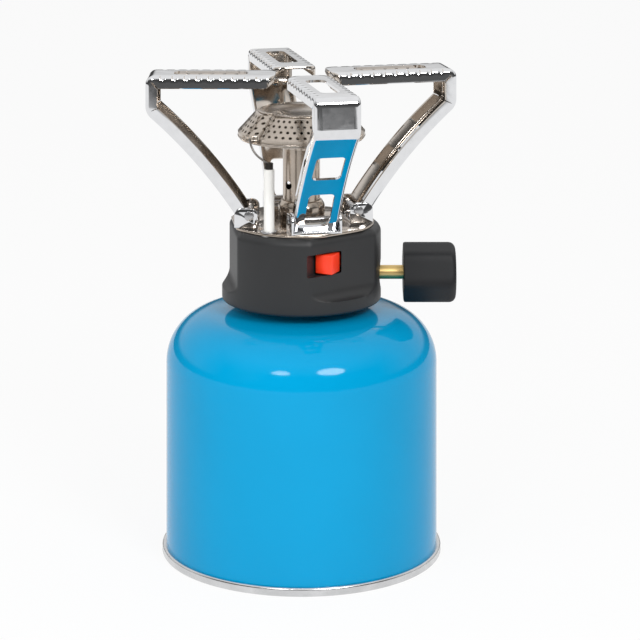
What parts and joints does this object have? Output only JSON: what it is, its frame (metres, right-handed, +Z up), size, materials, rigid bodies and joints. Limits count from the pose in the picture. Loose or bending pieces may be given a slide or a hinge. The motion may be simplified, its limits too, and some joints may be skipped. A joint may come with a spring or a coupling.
{
  "type": "camping gas stove",
  "caption": "Camping stove: a burner with folding pot supports, control knob and push-button igniter screwed on a gas cartridge.",
  "frame": {"origin": "middle of the can's bottom, on the surface it stands on", "axes": "+Z up, +X along the control knob, -Y towards the viewer of the picture"},
  "size_m": [0.1255, 0.1264, 0.1921],
  "materials": {
    "can_shell": "gloss lacquer over tinplate",
    "can_base": "plain tinplate",
    "valve_cup": "plain tinplate",
    "valve_housing": "moulded",
    "valve_gasket": "moulded",
    "valve_spring": "drawn wire",
    "valve_stem": "turned",
    "inlet_seal": "moulded",
    "valve_block": "turned",
    "depressor_pin": "turned",
    "gas_jet": "turned",
    "housing": "fine-grained moulding",
    "base_plate": "nickel plate",
    "swivel_rivets": "upset heads",
    "tube_nut": "turned, warm nickel",
    "mixing_tube": "warm nickel",
    "burner_pan": "pressed",
    "burner_skirt": "pressed and pierced",
    "burner_cap": "pressed",
    "electrode_ceramic": "glazed ceramic",
    "electrode_clip": "spring steel",
    "electrode_wire": "heat-darkened wire",
    "igniter_lead": "insulated",
    "igniter_unit": "moulded",
    "igniter_button": "moulded",
    "valve_bonnet": "turned",
    "gland_nut": "turned",
    "spindle_packing": "moulded",
    "control_spindle": "turned",
    "control_knob": "fine-grained moulding",
    "support_front": "bright plate",
    "bracket_front": "bright plate",
    "cross_pin_front": "upset heads",
    "support_right": "bright plate",
    "bracket_right": "bright plate",
    "cross_pin_right": "upset heads",
    "support_rear": "bright plate",
    "bracket_rear": "bright plate",
    "cross_pin_rear": "upset heads",
    "support_left": "bright plate",
    "bracket_left": "bright plate",
    "cross_pin_left": "upset heads"
  },
  "bodies": {
    "cartridge": {"can_shell": "can_shell", "can_base": "can_base", "valve_cup": "valve_cup", "valve_housing": "valve_housing", "valve_gasket": "valve_gasket", "valve_spring": "valve_spring"},
    "stem": {"valve_stem": "valve_stem"},
    "seal": {"inlet_seal": "inlet_seal"},
    "stove": {"valve_block": "valve_block", "depressor_pin": "depressor_pin", "gas_jet": "gas_jet", "housing": "housing", "base_plate": "base_plate", "swivel_rivets": "swivel_rivets", "tube_nut": "tube_nut", "mixing_tube": "mixing_tube", "burner_pan": "burner_pan", "burner_skirt": "burner_skirt", "burner_cap": "burner_cap", "electrode_ceramic": "electrode_ceramic", "electrode_clip": "electrode_clip", "electrode_wire": "electrode_wire", "igniter_lead": "igniter_lead", "igniter_unit": "igniter_unit", "valve_bonnet": "valve_bonnet", "gland_nut": "gland_nut", "spindle_packing": "spindle_packing"},
    "button": {"igniter_button": "igniter_button"},
    "knob": {"control_spindle": "control_spindle", "control_knob": "control_knob"},
    "arm_front": {"support_front": "support_front", "bracket_front": "bracket_front", "cross_pin_front": "cross_pin_front"},
    "arm_right": {"support_right": "support_right", "bracket_right": "bracket_right", "cross_pin_right": "cross_pin_right"},
    "arm_rear": {"support_rear": "support_rear", "bracket_rear": "bracket_rear", "cross_pin_rear": "cross_pin_rear"},
    "arm_left": {"support_left": "support_left", "bracket_left": "bracket_left", "cross_pin_left": "cross_pin_left"}
  },
  "joints": [
    {"name": "stove_rise", "type": "slide", "parent": "cartridge", "child": "seal", "axis": [0, 0, 1], "range_m": [0, 0.00454]},
    {"name": "stove_unscrew", "type": "hinge", "parent": "seal", "child": "stove", "pos_m": [0, 0, 0.1], "axis": [0, 0, 1], "range_deg": [0, 1800]},
    {"name": "stem_shut", "type": "slide", "parent": "cartridge", "child": "stem", "axis": [0, 0, 1], "range_m": [0, 0.0015], "deforming": ["valve_spring"]},
    {"name": "knob_turn", "type": "hinge", "parent": "stove", "child": "knob", "pos_m": [0.05, 0, 0.11114], "axis": [1, 0, 0], "range_deg": [0, 540]},
    {"name": "igniter_push", "type": "slide", "parent": "stove", "child": "button", "axis": [0.4226, 0.9063, 0], "range_m": [0, 0.0045], "stiffness_N_per_m": 600},
    {"name": "arm_front_swivel", "type": "hinge", "parent": "stove", "child": "arm_front", "pos_m": [0.00461, -0.01997, 0.13214], "axis": [0, 0, 1], "range_deg": [0, 80]},
    {"name": "arm_right_swivel", "type": "hinge", "parent": "stove", "child": "arm_right", "pos_m": [0.01997, 0.00461, 0.13214], "axis": [0, 0, 1], "range_deg": [0, 80]},
    {"name": "arm_rear_swivel", "type": "hinge", "parent": "stove", "child": "arm_rear", "pos_m": [-0.00461, 0.01997, 0.13214], "axis": [0, 0, 1], "range_deg": [0, 80]},
    {"name": "arm_left_swivel", "type": "hinge", "parent": "stove", "child": "arm_left", "pos_m": [-0.01997, -0.00461, 0.13214], "axis": [0, 0, 1], "range_deg": [0, 72]}
  ],
  "couplings": [
    {"joint": "stove_rise", "follows": "stove_unscrew", "m_per_rad": 0.00014435},
    {"joint": "stem_shut", "follows": "stove_unscrew", "m_per_rad": 0.000047428}
  ]
}
